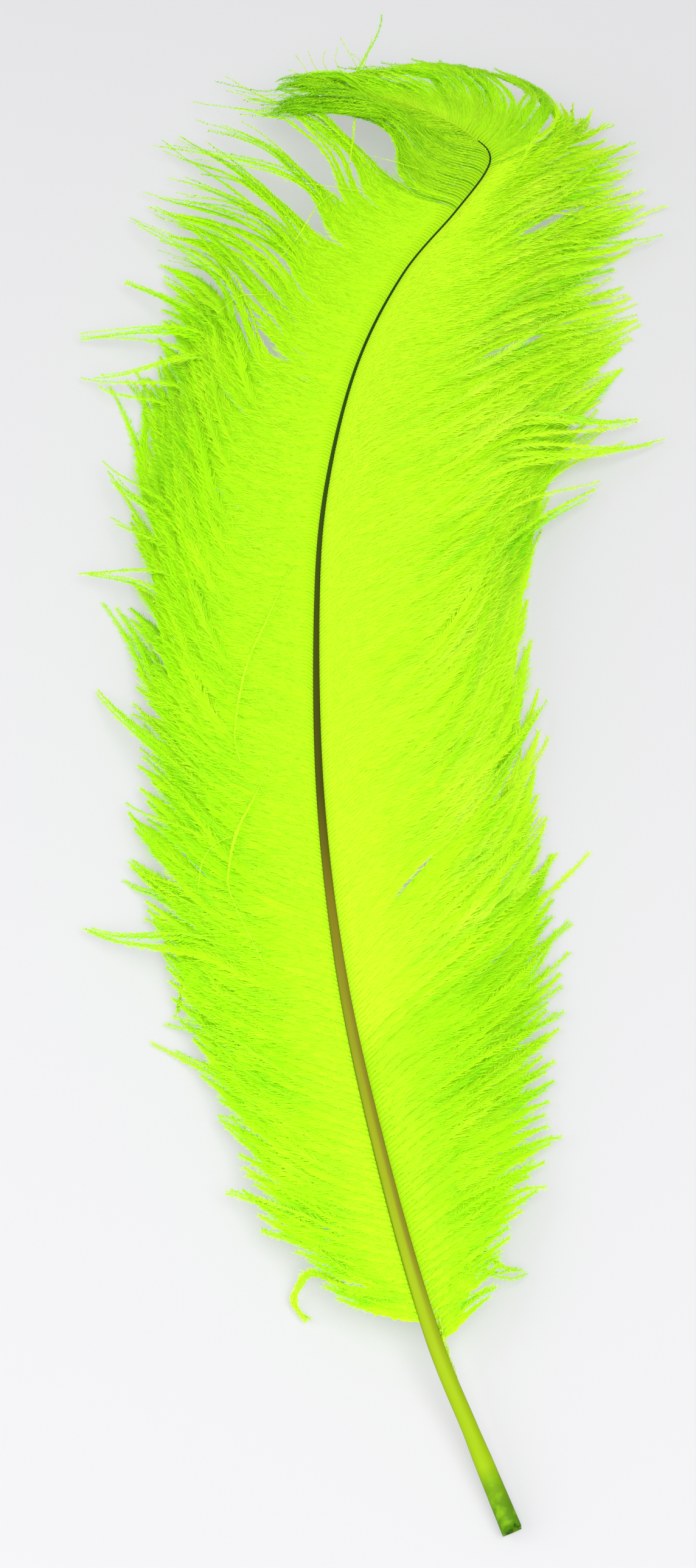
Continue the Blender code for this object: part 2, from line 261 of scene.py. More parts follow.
# side, station, how far along the barbs they leave, tip, bow to the right of a straight line
strayLocks = (
    ("left", 374, 0.92, (-112, 145, 4), 4),
    ("left", 362, 0.92, (-112, 125, 3), -3),
    ("left", 285, 0.92, (-104, 88, 3), -2),
    ("left", 264, 0.92, (-99, 61, 3), 1),
    ("left", 258, 0.92, (-107, 35, 4), 3),
    ("left", 213, 0.85, (-98, -14, 2), -2),
    ("left", 187, 0.75, (-88, -60, 2), -2),
    ("left", 177, 0.62, (-85, -83, 2), -3),
    ("left", 161, 0.80, (-101, -109, 2), -3),
    ("left", 404, 0.92, (-97, 207, 4), 2),
    ("left", 387, 0.92, (-99, 176, 4), 3),
    ("left", 480, 0.62, (-88, 244, 7), 4),
    ("right", 424, 0.92, (113, 196, 4), 2),
    ("right", 328, 0.83, (107, 106, 3), 4),
    ("right", 315, 0.80, (106, 95, 3), 3),
    ("right", 258, 0.92, (86, 80, 2), -3),
    ("right", 188, 0.72, (61, -17, 2), 2),
    ("right", 167, 0.70, (55, -60, 2), 2),
    ("right", 74, 0.58, (44, -227, 3), 4),
    ("right", 467, 0.85, (108, 250, 6), -3),
    ("right", 600, 0.25, (3, 302, 24), 2),
)
strayValues = {
    "barbs": 4,
    "singleBelow": 0.3,  # a lock that leaves sooner than this is one barb
    "sheetPenalty": 9.0,  # so much nearer has a barb of the sheet to be than a loose one
    "slim": 0.8,
    "lead": 0.26,  # the path bends this much before the lock leaves
    "earliest": 0.1,
    "spread": (1.3, 1.5, 0.6),
    "lengths": (0.72, 1.0),
    "handles": (0.36, 0.66),
    "bow": 1.4,
}


def strayPath(start, ahead, tip, bow, part):
    # leaves along the barb and ends at the tip, bowed to the right of a straight line
    near, far = strayValues["handles"]
    span = tip - start
    reach = np.linalg.norm(span, axis=1, keepdims=True)
    across = np.stack([span[:, 1], -span[:, 0], 0 * span[:, 0]], 1) / reach
    first = start + ahead * reach * near
    second = start + span * far + strayValues["bow"] * bow * across
    t = part[None, :, None]
    path = (1 - t) ** 3 * start[:, None] + 3 * t * (1 - t) ** 2 * first[:, None]
    return path + 3 * t**2 * (1 - t) * second[:, None] + t**3 * tip[:, None]


def leadStrays(side, chance, stations, lines, loose, slim):
    # a few barbs of the vane end outside it
    for lockSide, station, leaves, tip, bow in strayLocks:
        if lockSide != side:
            continue
        size = strayValues["barbs"] if leaves > strayValues["singleBelow"] else 1
        away = np.abs(stations - station) + strayValues["sheetPenalty"] * ~loose
        near = np.argsort(away)[:size]
        slim[near] *= strayValues["slim"]
        first = int(round(rowPlace(max(leaves - strayValues["lead"], strayValues["earliest"]))))
        start = lines[near, first]
        ahead = lines[near, first + 1] - lines[near, first - 1]
        ahead /= np.linalg.norm(ahead, axis=1, keepdims=True)
        target = np.array(tip, float)
        target = target + chance.uniform(-1, 1, (len(near), 3)) * strayValues["spread"]
        share = chance.uniform(*strayValues["lengths"], (len(near), 1))
        target = start + (target - start) * share
        onward = (rowParts[first:] - rowParts[first]) / (1 - rowParts[first])
        lines[near, first:] = strayPath(start, ahead, target, bow, onward)


# How the barbs of each vane lie. A plume is the stations it spans, its middle and how far it closes
# up; a slot is a station, the parts of the barbs it spans and how far it pushes them to each side;
# slimness is how full the barbules are at some stations.
vaneValues = {
    "left": {
        "first": 61.0,
        "last": 606.0,
        "spacing": 1.5,
        "lockWidths": (3.0, 8.0),
        "plumes": (
            (443.0, 456.0, 449.0, 0.8),
            (456.0, 471.0, 462.0, 0.88),
            (471.0, 488.0, 479.0, 0.9),
            (488.0, 507.0, 498.0, 0.92),
            (507.0, 524.0, 518.0, 0.8),
        ),
        "slots": ((412.0, 0.16, 0.5, 7.0),),
        "crestFrom": 508.0,
        "hurry": (-0.08, 0.10),
        "partsFrom": 0.34,
        "lengths": (0.92, 1.16),
        "lean": 12.0,
        "sheetReach": 1.0,
        "sheetPull": 0.12,
        "rootTurn": 50.0,
        "crestComb": 2.0,
        "slimness": ((390.0, 1.0), (445.0, 0.42), (525.0, 0.4), (545.0, 0.6)),
        "seed": 21,
        "fibreSeed": 9,
        "pieceEdges": (0, 200, 340, 510, 700),
        "pieceDyesAndLight": ("left", "left", "left", "crest"),
    },
    "right": {
        "first": 56.0,
        "last": 606.0,
        "spacing": 1.5,
        "lockWidths": (3.0, 8.0),
        "plumes": (),
        "slots": (
            (182.0, 0.12, 0.5, 3.0),
            (381.0, 0.38, 0.85, 3.6),
            (456.0, 0.45, 0.9, 4.0),
            (545.0, 0.35, 0.8, 3.0),
            (566.0, 0.3, 0.75, 3.0),
        ),
        "crestFrom": 528.0,
        "hurry": (-0.06, 0.10),
        "partsFrom": 0.42,
        "lengths": (0.96, 1.14),
        "lean": 13.0,
        "sheetReach": 1.04,
        "sheetPull": 0.12,
        "rootTurn": 0.0,
        "crestComb": 0.0,
        "slimness": ((440.0, 1.0), (520.0, 0.75)),
        "seed": 22,
        "fibreSeed": 10,
        "pieceEdges": (0, 150, 300, 430, 530, 700),
        "pieceDyesAndLight": ("left", "right", "right", "right", "fan"),
    },
}

# what the barbs of both vanes share; a part is a share of the way along a barb
barbHabits = {
    "lockPull": (0.75, 0.97),  # how far loose barbs go to the middle of their lock
    "plumePull": (0.6, 1.0),
    "togetherAt": 0.92,  # the part at which a lock has run together
    "plumeParts": (0.16, 0.55),
    "crestBlend": 12.0,
    "plumeCalm": 0.85,  # how much less a lock varies in a plume, and in the crest
    "crestCalm": 0.8,
    "looseLengths": (0.72, 1.0),
    "sheetLengths": (0.85, 1.0),
    "crestLengths": (0.92, 1.08),
    "outerParts": (0.4, 1.0),  # where wander and wave set in
    "rootTurnReach": 5.0,
    "looseWander": 6.5,
    "sheetWander": 1.2,
    "wave": 3.0,
    "waveTurns": (0.7, 1.3),
    "slotFade": 8.0,
    "slotThinning": 0.1,
    "layers": (0.2, 1.8),  # heights of loose locks over the sheet
    "crestLayers": (0.0, 5.5),
    "hurriedLayer": 9.0,
    "lift": (-0.5, 0.7),
    "liftParts": (0.25, 0.6),
    "endParts": (0.8, 1.0),
    "endDrop": 0.6,  # how much of the lift is gone at the barb's end
    "overShaft": 1.3,
    "shaftEnds": (546.0, 560.0),
    "clearance": 0.2,
}


def growVane(side):
    values, habits = vaneValues[side], barbHabits
    chance = np.random.default_rng(values["seed"])
    stations = np.arange(values["first"], values["last"], values["spacing"])
    count = len(stations)

    # some barbs stay in the closed sheet, the others run together in locks
    lock, middles = shareOut(chance, stations, values["lockWidths"])
    locks = len(middles)
    loose = np.arange(count) % 2 == 1
    pull = np.where(loose, chance.uniform(*habits["lockPull"], locks)[lock], values["sheetPull"])
    goals = stations + (middles[lock] - stations) * pull
    inPlume = np.zeros(count)
    for low, high, centre, close in values["plumes"]:
        inside = (stations >= low) & (stations < high)
        own = chance.uniform(*habits["plumePull"], inside.sum())
        goals[inside] += (centre - goals[inside]) * close * own
        inPlume[inside] = 1.0
    blend = habits["crestBlend"]
    crest = smoothStep(values["crestFrom"] - blend, values["crestFrom"] + blend, stations)
    free = loose * (1 - habits["plumeCalm"] * inPlume) * (1 - habits["crestCalm"] * crest)

    hurry = chance.uniform(*values["hurry"], locks)[lock] * free
    lean = values["lean"] * chance.uniform(-1, 1, locks)[lock] * free
    reach = np.where(loose, chance.uniform(*values["lengths"], locks)[lock], values["sheetReach"])
    looseReach = chance.uniform(*habits["looseLengths"], count) ** 0.5
    sheetReach = chance.uniform(*habits["sheetLengths"], count)
    reach *= np.where(loose, looseReach, sheetReach)
    reach += (chance.uniform(*habits["crestLengths"], count) - reach) * crest
    layer = chance.uniform(*habits["layers"], locks)[lock] * loose
    layer += habits["hurriedLayer"] * np.maximum(hurry, 0)
    layer += chance.uniform(*habits["crestLayers"], locks)[lock] * crest

    # each barb wanders from the heading in its table
    middlePart = (rowParts[1:] + rowParts[:-1]) / 2
    outer = smoothStep(*habits["outerParts"], middlePart)
    arc = readTable(side, stations, 1)[:, None] * middlePart
    bend = values["rootTurn"] * np.exp(-((arc / habits["rootTurnReach"]) ** 2))
    spread = np.where(loose | (inPlume > 0), habits["looseWander"], habits["sheetWander"])
    own = chance.normal(0, 1, (count, 1)) * spread[:, None] * outer
    turns = chance.uniform(*habits["waveTurns"], (count, 1)) * middlePart
    wave = habits["wave"] * np.sin(2 * math.pi * (turns + chance.random((count, 1))))
    wander = lean[:, None] * outer + bend + own + wave * outer
    lines = barbLines(side, stations, reach, wander, hurry)
    lockLines = barbLines(side, goals, reach, wander, hurry)
    weight = smoothStep(values["partsFrom"], habits["togetherAt"], rowParts)
    plumeWeight = smoothStep(*habits["plumeParts"], rowParts)
    weight = weight + (plumeWeight - weight) * inPlume[:, None]
    lines = lines + (lockLines - lines) * weight[:, :, None]

    slim = np.interp(stations, *np.array(values["slimness"]).T)
    for station, low, high, push in values["slots"]:
        away = goals - station
        pushes = np.sign(away) * push * np.exp(-np.abs(away) / habits["slotFade"])
        pushed = barbLines(side, goals + pushes, reach, wander, hurry) - lockLines
        middle = (low + high) / 2
        rise = smoothStep(low, middle, rowParts) * (1 - smoothStep(middle, high, rowParts))
        lines = lines + pushed * rise[None, :, None]
        slim *= 1 - habits["slotThinning"] * push * (np.abs(away) < push)

    # barbs lie over and under each other, and over the shaft where it ends
    lift = layer[:, None] + chance.uniform(*habits["lift"], (count, 1))
    ends = 1 - habits["endDrop"] * smoothStep(*habits["endParts"], rowParts)
    lines[:, 1:, 2] = sheetHeight(lines[:, 1:])
    lines[:, :, 2] += lift * smoothStep(*habits["liftParts"], rowParts) * ends
    lines[:, :, 2] += habits["overShaft"] * smoothStep(*habits["shaftEnds"], stations)[:, None]

    leadStrays(side, chance, stations, lines, loose, slim)
    lines[:, :, 2] = np.maximum(lines[:, :, 2], groundGap + habits["clearance"])
    print("vane", side, count, "barbs", locks, "locks")
    comb = 1 + values["crestComb"] * crest
    return stations, lines, loose | (inPlume > 0), slim, comb


# Sizes of each barb's rib, of the film along it and of its soft barbules. Film and barbules taper
# over the last millimetres of a barb, sooner where barbs lie loose.
ribValues = {"rows": 26, "root": 0.36, "tip": 0.12, "height": 0.8}
filmValues = {
    "roots": (0.45, 1.7),  # widths beside the shaft, on each side of the rib
    "sheet": 2.1,
    "loose": 1.4,
    "laps": (2.5, 9.0),  # the strips of film lap to the first length, and are flat by the second
    "lean": 0.30,
    "sag": 0.15,
    "below": 0.06,
    "ragged": (0.55, 1.15),
    "sheetEnd": 20.0,
    "looseEnd": 75.0,
    "tip": 0.12,
    "mapAcross": (0.05, 0.5, 0.95),
}
bladeValues = {
    "spacing": 0.47,
    "crowding": 0.85,
    "from": 5.0,  # the barb is bare up to this length or part, whichever is less
    "fromPart": 0.1,
    "shortest": 2.4,
    "longest": 7.5,
    "growing": (4.0, 28.0),
    "sheetEnd": 26.0,
    "looseEnd": 62.0,
    "tip": 0.22,
    "sizes": (0.5, 1.2),
    "spread": 24.0,  # angle to the rib, with more of it towards the barb's end
    "endSpread": 14.0,
    "endReach": 45.0,
    "spreadNoise": 8.0,
    "turn": (4.0, 24.0),
    "rise": (0.05, 0.2),  # mean and spread of the height that each half gains
    "fall": (-0.15, 0.4),
    "width": 0.26,
    "widths": (0.7, 1.2),
    "tilt": 0.35,
    "mapReach": (0.1, 0.45),
}
slimParts = (0.2, 0.42)  # where a barb's slimness sets in
pointedReach = (-2.0, 15.0)  # lengths over which a pointed barb widens at its root
barbsPerPiece = 128  # a piece's map has room for this many barbs side by side
mapTop = 1.08  # and for barbules that reach past the ends of their ribs


def lineAt(lines, barb, place):
    # points at fractional places along chosen lines
    low = np.clip(np.floor(place).astype(int), 0, lines.shape[1] - 2)
    share = (place - low)[..., None]
    return lines[barb, low] * (1 - share) + lines[barb, low + 1] * share, low


def spines(lines):
    # the lines again with fewer rows, and a level normal to each
    part = np.linspace(0, 1, ribValues["rows"]) ** rowCrowding
    barb = np.arange(len(lines))[:, None] + np.zeros((1, len(part)), int)
    place = np.broadcast_to(rowPlace(part), barb.shape)
    spine, _ = lineAt(lines, barb, place)
    ahead = np.gradient(spine, axis=1)
    across = np.stack([ahead[..., 1], -ahead[..., 0], 0 * ahead[..., 0]], -1)
    across /= np.linalg.norm(across, axis=2, keepdims=True) + 1e-9
    return part, spine, across


def rowQuads(index, closed):
    a, b = index[:, :-1], index[:, 1:]
    last = index.shape[2] if closed else index.shape[2] - 1
    quads = []
    for k in range(last):
        n = (k + 1) % index.shape[2]
        quads.append(np.stack([a[..., k], a[..., n], b[..., n], b[..., k]], -1).reshape(-1, 4))
    return np.concatenate(quads)


def growRibs(lines):
    # a flat three-sided rib along each line
    part, spine, across = spines(lines)
    half = 0.5 * (ribValues["root"] + (ribValues["tip"] - ribValues["root"]) * part)
    half = half[None, :, None]
    top = spine + np.array([0, 0, 1.0]) * half * ribValues["height"]
    ring = np.stack([spine - across * half, top, spine + across * half], 2)
    index = np.arange(ring.size // 3).reshape(ring.shape[:3])
    along = np.broadcast_to(part[None, :, None], index.shape)
    barb = np.broadcast_to(np.arange(len(lines))[:, None, None], index.shape)
    maps = np.stack([barb.reshape(-1) + 0.5, along.reshape(-1)], 1)
    return ring.reshape(-1, 3), rowQuads(index, True), maps


def growFilm(side, chance, lines, loose, slim, comb, pointed=False):
    # a thin strip on both sides of each rib; near the shaft it laps under the next one
    part, spine, across = spines(lines)
    length = np.linalg.norm(np.diff(spine, axis=1), axis=2).sum(1)[:, None]
    arc, left = part * length, (1 - part) * length
    grown = smoothStep(*filmValues["laps"], arc / comb[:, None])
    ends = np.where(loose, filmValues["looseEnd"], filmValues["sheetEnd"])[:, None]
    taper = filmValues["tip"] + (1 - filmValues["tip"]) * smoothStep(0, 1, left / ends)
    if pointed:
        taper = taper * slim[:, None] * smoothStep(*pointedReach, arc)
    else:
        taper = taper * (1 + (slim[:, None] - 1) * smoothStep(*slimParts, part))
    full = np.where(loose, filmValues["loose"], filmValues["sheet"])[:, None]
    forward = 1.0 if side == "left" else -1.0
    edges = [spine - (0, 0, filmValues["below"])]
    for root, way in zip(filmValues["roots"], (-1.0, 1.0)):
        ragged = 1 + (chance.uniform(*filmValues["ragged"], grown.shape) - 1) * grown
        width = (root + (full - root) * grown) * taper * ragged
        height = -way * filmValues["lean"] * (1 - grown) * width - filmValues["sag"] * grown * width
        edge = spine + across * (forward * way * width)[..., None]
        edge[..., 2] += height
        edges.append(edge)
    order = (1, 0, 2) if side == "left" else (2, 0, 1)
    ring = np.stack([edges[k] for k in order], 2)
    index = np.arange(ring.size // 3).reshape(ring.shape[:3])
    along = np.broadcast_to(part[None, :, None], index.shape)
    barb = np.arange(len(lines))[:, None, None] + np.array(filmValues["mapAcross"])
    maps = np.stack([np.broadcast_to(barb, index.shape).reshape(-1), along.reshape(-1)], 1)
    return ring.reshape(-1, 3), rowQuads(index, False), maps


def growBlades(chance, lines, loose, slim, pointed=False):
    # two barbules leave the rib at every spacing, one on each side; each is widest in its middle
    blade = bladeValues
    lengths = np.linalg.norm(np.diff(lines, axis=1), axis=2).sum(1)
    counts = (lengths / blade["spacing"]).astype(int)
    barb = np.repeat(np.arange(len(lines)), 2 * counts)
    first = np.repeat(np.cumsum(2 * counts) - 2 * counts, 2 * counts)
    order = np.arange(len(barb)) - first
    hand = np.where(order % 2, 1.0, -1.0)
    total = np.repeat(counts, 2 * counts)
    bare = np.minimum(blade["from"] / lengths[barb], blade["fromPart"])
    part = ((order // 2) + chance.random(len(barb))) / total
    part = bare + (1 - bare) * part ** blade["crowding"]
    root, low = lineAt(lines, barb, rowPlace(part))
    ahead = lines[barb, low + 1] - lines[barb, low]
    heading = np.arctan2(ahead[:, 0], ahead[:, 1])
    arc = part * lengths[barb]
    left = (1 - part) * lengths[barb]

    growth = smoothStep(*blade["growing"], arc)
    size = blade["shortest"] + (blade["longest"] - blade["shortest"]) * growth
    ends = np.where(loose, blade["looseEnd"], blade["sheetEnd"])[barb]
    taper = blade["tip"] + (1 - blade["tip"]) * smoothStep(0, 1, left / ends)
    size *= taper * chance.uniform(*blade["sizes"], len(barb))
    if pointed:
        size *= slim[barb] * smoothStep(*pointedReach, arc)
    else:
        size *= 1 + (slim[barb] - 1) * smoothStep(*slimParts, part)

    spread = blade["spread"] + blade["endSpread"] * (1 - smoothStep(0, blade["endReach"], left))
    spread = np.radians(spread + chance.normal(0, blade["spreadNoise"], len(barb)))
    turn = np.radians(chance.uniform(*blade["turn"], len(barb)))
    one = heading + hand * spread
    two = one - hand * turn
    slope = ahead[:, 2] / (np.hypot(ahead[:, 0], ahead[:, 1]) + 1e-9)
    rise = slope * size / 2 + chance.normal(*blade["rise"], len(barb))
    fall = slope * size / 2 + chance.normal(*blade["fall"], len(barb))
    middle = root + np.stack([np.sin(one) * size / 2, np.cos(one) * size / 2, rise], 1)
    end = middle + np.stack([np.sin(two) * size / 2, np.cos(two) * size / 2, fall], 1)
    width = blade["width"] * chance.uniform(*blade["widths"], len(barb))
    tilt = chance.normal(0, blade["tilt"], len(barb))
    side = np.stack([np.cos(one), -np.sin(one), tilt], 1) * (width / 2)[:, None]
    points = np.stack([middle - side, root, middle + side, end], 1)
    quads = 4 * np.arange(len(barb))[:, None] + np.arange(4)
    reach = np.array([0.5, 0, 0.5, 1.0]) * (size / lengths[barb])[:, None]
    u = barb[:, None] + 0.5 + (hand * chance.uniform(*blade["mapReach"], len(barb)))[:, None]
    maps = np.stack([np.broadcast_to(u, reach.shape), part[:, None] + reach], 2)
    return points.reshape(-1, 3), quads, maps.reshape(-1, 2)


def joinMeshes(parts):
    points, quads, maps = [], [], []
    start = 0
    for p, q, m in parts:
        points.append(p)
        quads.append(q + start)
        maps.append(m)
        start += len(p)
    return np.concatenate(points), np.concatenate(quads), np.concatenate(maps)


def makePiece(name, parts, material, mapWidth):
    points, quads, maps = joinMeshes(parts)
    points = points + centreShift
    points[:, 2] = np.maximum(points[:, 2], groundGap)
    mesh = bpy.data.meshes.new(name)
    mesh.vertices.add(len(points))
    mesh.vertices.foreach_set("co", (points * millimetre).astype(np.float32).ravel())
    corners = quads.ravel().astype(np.int32)
    mesh.loops.add(len(corners))
    mesh.loops.foreach_set("vertex_index", corners)
    mesh.polygons.add(len(quads))
    mesh.polygons.foreach_set("loop_start", (4 * np.arange(len(quads))).astype(np.int32))
    layer = mesh.uv_layers.new(name="OFBake")
    places = maps / (mapWidth, mapTop)
    layer.uv.foreach_set("vector", places[corners].astype(np.float32).ravel())
    mesh.update(calc_edges=True)
    mesh.validate()
    mesh.shade_smooth()
    mesh.materials.append(material)
    piece = bpy.data.objects.new(name, mesh)
    bpy.context.scene.collection.objects.link(piece)
    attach(piece, "root")
    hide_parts("feather")
    print("piece", name, 2 * len(quads), "triangles")


class Wire:
    # a socket that takes part in sums
    def __init__(self, maker, socket):
        self.maker = maker
        self.socket = socket

    def sum(self, operation, a, b):
        return self.maker.add("ShaderNodeMath", {"operation": operation}, {0: a, 1: b})

    def __add__(self, other):
        return self.sum("ADD", self, other)

    def __radd__(self, other):
        return self.sum("ADD", other, self)

    def __sub__(self, other):
        return self.sum("SUBTRACT", self, other)

    def __rsub__(self, other):
        return self.sum("SUBTRACT", other, self)

    def __mul__(self, other):
        return self.sum("MULTIPLY", self, other)

    def __rmul__(self, other):
        return self.sum("MULTIPLY", other, self)


class Finish:
    # builds one material
    def __init__(self, name):
        self.material = bpy.data.materials.new(name)
        self.material.use_nodes = True
        self.nodes = self.material.node_tree.nodes
        self.links = self.material.node_tree.links
        self.nodes.clear()

    def add(self, kind, settings=None, sockets=None, output=0):
        node = self.nodes.new(kind)
        for key, value in (settings or {}).items():
            if key == "stops":
                self.setStops(node.color_ramp, value)
            else:
                setattr(node, key, value)
        for key, value in (sockets or {}).items():
            if isinstance(value, Wire):
                self.links.new(value.socket, node.inputs[key])
            else:
                node.inputs[key].default_value = value
        return Wire(self, node.outputs[output]) if node.outputs else None

    def setStops(self, ramp, stops):
        while len(ramp.elements) < len(stops):
            ramp.elements.new(0.5)
        for element, (place, colour) in zip(ramp.elements, stops):
            element.position = place
            element.color = colour

    def math(self, operation, value):
        return self.add("ShaderNodeMath", {"operation": operation}, {0: value})

    def ramp(self, factor, *stops):
        return self.add("ShaderNodeValToRGB", {"stops": stops}, {"Fac": factor})

    def noise(self, vector, detail=2.0):
        sockets = {"Vector": vector, "Scale": 1.0, "Detail": detail}
        return self.add("ShaderNodeTexNoise", {}, sockets)

    def stretch(self, vector, scale):
        sockets = {0: vector, 1: scale}
        return self.add("ShaderNodeVectorMath", {"operation": "MULTIPLY"}, sockets)

    def mix(self, factor, a, b):
        return self.add("ShaderNodeMix", {"data_type": "RGBA"}, {0: factor, 6: a, 7: b}, output=2)

    def finish(self, shader):
        self.add("ShaderNodeOutputMaterial", {}, {"Surface": shader})
        return self.material


black, white = (0.0, 0.0, 0.0, 1.0), (1.0, 1.0, 1.0, 1.0)

# Colours of the dyed barbs, from the shaft out to the tips, with painted light in them. The four
# are lit and shaded copies of one dye: right is lighter and yellower as painted light, and crest
# and fan are darker as painted shade. Left and right are lighter at the root and the tip as painted
# light, while crest and fan darken towards the tips as painted shade. Shade is the painted shade in
# streaks that run across a few barbs and in strands along them, partly the dye's own uneven tone.
# Gleam is a painted highlight, and shine is how much of it lies in patches of painted sheen. Pitch
# is how many strands there are, and atRoot how much of them is left beside the shaft.
dyeAndLightValues = {
    "left": {
        "root": (0.66, 0.98, 0.012, 1.0),
        "middle": (0.56, 0.96, 0.003, 1.0),
        "outer": (0.54, 0.96, 0.002, 1.0),
        "tip": (0.62, 0.98, 0.02, 1.0),
        "shade": (0.17, 0.61, 0.0, 1.0),
        "gleam": (0.78, 1.0, 0.02, 1.0),
        "through": (0.48, 0.90, 0.002, 1.0),
        "streaks": 0.44,
        "pitch": 60.0,
        "strands": 0.7,
        "atRoot": 0.35,
        "shine": 0.45,
    },
    "right": {
        "root": (0.76, 1.0, 0.022, 1.0),
        "middle": (0.70, 1.0, 0.010, 1.0),
        "outer": (0.66, 1.0, 0.008, 1.0),
        "tip": (0.76, 1.0, 0.06, 1.0),
        "shade": (0.25, 0.74, 0.0, 1.0),
        "gleam": (0.86, 1.0, 0.06, 1.0),
        "through": (0.64, 0.98, 0.008, 1.0),
        "streaks": 0.36,
        "pitch": 38.0,
        "strands": 0.9,
        "atRoot": 0.12,
        "shine": 0.6,
    },
    "fan": {
        "root": (0.56, 0.94, 0.010, 1.0),
        "middle": (0.50, 0.93, 0.006, 1.0),
        "outer": (0.50, 0.93, 0.006, 1.0),
        "tip": (0.30, 0.70, 0.006, 1.0),
        "shade": (0.12, 0.50, 0.0, 1.0),
        "gleam": (0.74, 0.99, 0.03, 1.0),
        "through": (0.42, 0.86, 0.004, 1.0),
        "streaks": 0.38,
        "pitch": 95.0,
        "strands": 0.75,
        "atRoot": 0.8,
        "shine": 0.4,
    },
    "crest": {
        "root": (0.54, 0.92, 0.008, 1.0),
        "middle": (0.46, 0.89, 0.005, 1.0),
        "outer": (0.40, 0.84, 0.004, 1.0),
        "tip": (0.28, 0.70, 0.006, 1.0),
        "shade": (0.08, 0.40, 0.0, 1.0),
        "gleam": (0.66, 0.97, 0.02, 1.0),
        "through": (0.32, 0.74, 0.003, 1.0),
        "streaks": 0.38,
        "pitch": 95.0,
        "strands": 0.9,
        "atRoot": 0.9,
        "shine": 0.3,
    },
}
# what the dyes share: where each colour lies, the sizes of the painted shade's streaks and the
# painted sheen's patches, the painted highlight along each rib, and the gloss
barbLook = {
    "colourParts": (("root", 0.0), ("root", 0.15), ("middle", 0.4), ("outer", 0.75), ("tip", 1.0)),
    "outwardParts": (0.16, 0.48),
    "streakSize": (0.7, 260.0),
    "streakSlant": 6.0,
    "streakStops": ((0.36, white), (0.56, black)),
    "strandLength": 2.2,
    "strandStops": ((0.38, white), (0.54, black)),
    "patchSize": (48.0, 3.0),
    "patchStops": ((0.42, black), (0.72, white)),
    "ribStops": ((0.0, white), (0.16, black)),
    "ribGleam": 0.7,
    "roughness": 0.5,
    "roughnessRange": 0.2,
    "specular": 0.15,
    "throughLight": 0.44,
}


def dyeAndLightBarbs(name):
    dyeAndLight = dyeAndLightValues[name]
    look = Finish(name + " barbs")
    place = look.add("ShaderNodeUVMap", {"uv_map": "OFBake"})
    barb = look.add("ShaderNodeSeparateXYZ", {}, {0: place}) * float(barbsPerPiece)
    along = look.add("ShaderNodeSeparateXYZ", {}, {0: place}, output=1)
    # the colours along each barb hold painted light: lighter at the root and tip in the left and
    # right dyes, darker towards the tips in the crest and fan dyes as painted shade
    base = look.ramp(along, *((part, dyeAndLight[key]) for key, part in barbLook["colourParts"]))
    near, far = barbLook["outwardParts"]
    outward = look.ramp(along, (near, (dyeAndLight["atRoot"],) * 3 + (1.0,)), (far, white))

    # 0 on the rib and 1 at the ends of the barbules
    across = look.math("ABSOLUTE", look.math("FRACT", barb) - 0.5) * 2.0
    wide, long = barbLook["streakSize"]
    slanted = along * long - across * barbLook["streakSlant"]
    streaks = look.noise(look.add("ShaderNodeCombineXYZ", {}, {0: barb * wide, 1: slanted}))
    strands = look.noise(look.stretch(place, (dyeAndLight["pitch"], barbLook["strandLength"], 1.0)))
    patches = look.noise(look.stretch(place, (*barbLook["patchSize"], 1.0)))

    # painted shade: streaks across the barbs and strands along them darken towards the shade
    # colour, partly the dye's own uneven tone
    fine = look.ramp(streaks, *barbLook["streakStops"]) * dyeAndLight["streaks"]
    colour = look.mix(fine, base, dyeAndLight["shade"])
    broad = look.ramp(strands, *barbLook["strandStops"]) * outward * dyeAndLight["strands"]
    colour = look.mix(broad, colour, dyeAndLight["shade"])
    # painted highlights: patches of painted sheen and a painted highlight line along each rib, in
    # the gleam colour
    shine = look.ramp(patches, *barbLook["patchStops"])
    colour = look.mix(shine * outward * dyeAndLight["shine"], colour, dyeAndLight["gleam"])
    rib = look.ramp(across, *barbLook["ribStops"])
    colour = look.mix(rib * outward * barbLook["ribGleam"], colour, dyeAndLight["gleam"])
    surface = look.add(
        "ShaderNodeBsdfPrincipled",
        {},
        {
            "Base Color": colour,
            "Roughness": streaks * barbLook["roughnessRange"] + barbLook["roughness"],
            "Specular IOR Level": barbLook["specular"],
        },
    )
    # darker streaks let less light through
    through = look.add("ShaderNodeBsdfTranslucent", {}, {"Color": dyeAndLight["through"]})
    share = (1 - fine) * (1 - broad) * barbLook["throughLight"]
    return look.finish(look.add("ShaderNodeMixShader", {}, {0: share, 1: surface, 2: through}))


